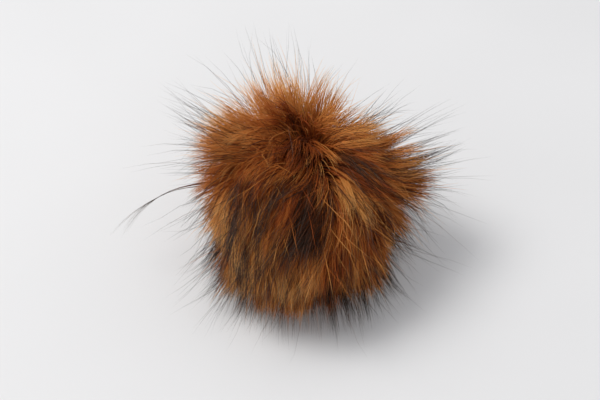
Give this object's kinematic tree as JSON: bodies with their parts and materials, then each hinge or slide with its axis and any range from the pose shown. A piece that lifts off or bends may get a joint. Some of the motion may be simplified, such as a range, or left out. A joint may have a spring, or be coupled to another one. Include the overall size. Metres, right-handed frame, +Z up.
{
  "type": "pom pom",
  "caption": "Round faux-fur pom pom of long pile in leaning locks and tufts, with stray guard hairs, lying on a flat spot.",
  "frame": {"origin": "middle of the flat spot under the pom pom, on the surface that it lies on", "axes": "+Z up from the surface, -Y towards the front, +X to the right of the front"},
  "size_m": [0.1861, 0.1605, 0.109],
  "materials": {
    "fur": "soft long pile"
  },
  "bodies": {
    "root": {"pompom": "fur"}
  },
  "joints": []
}
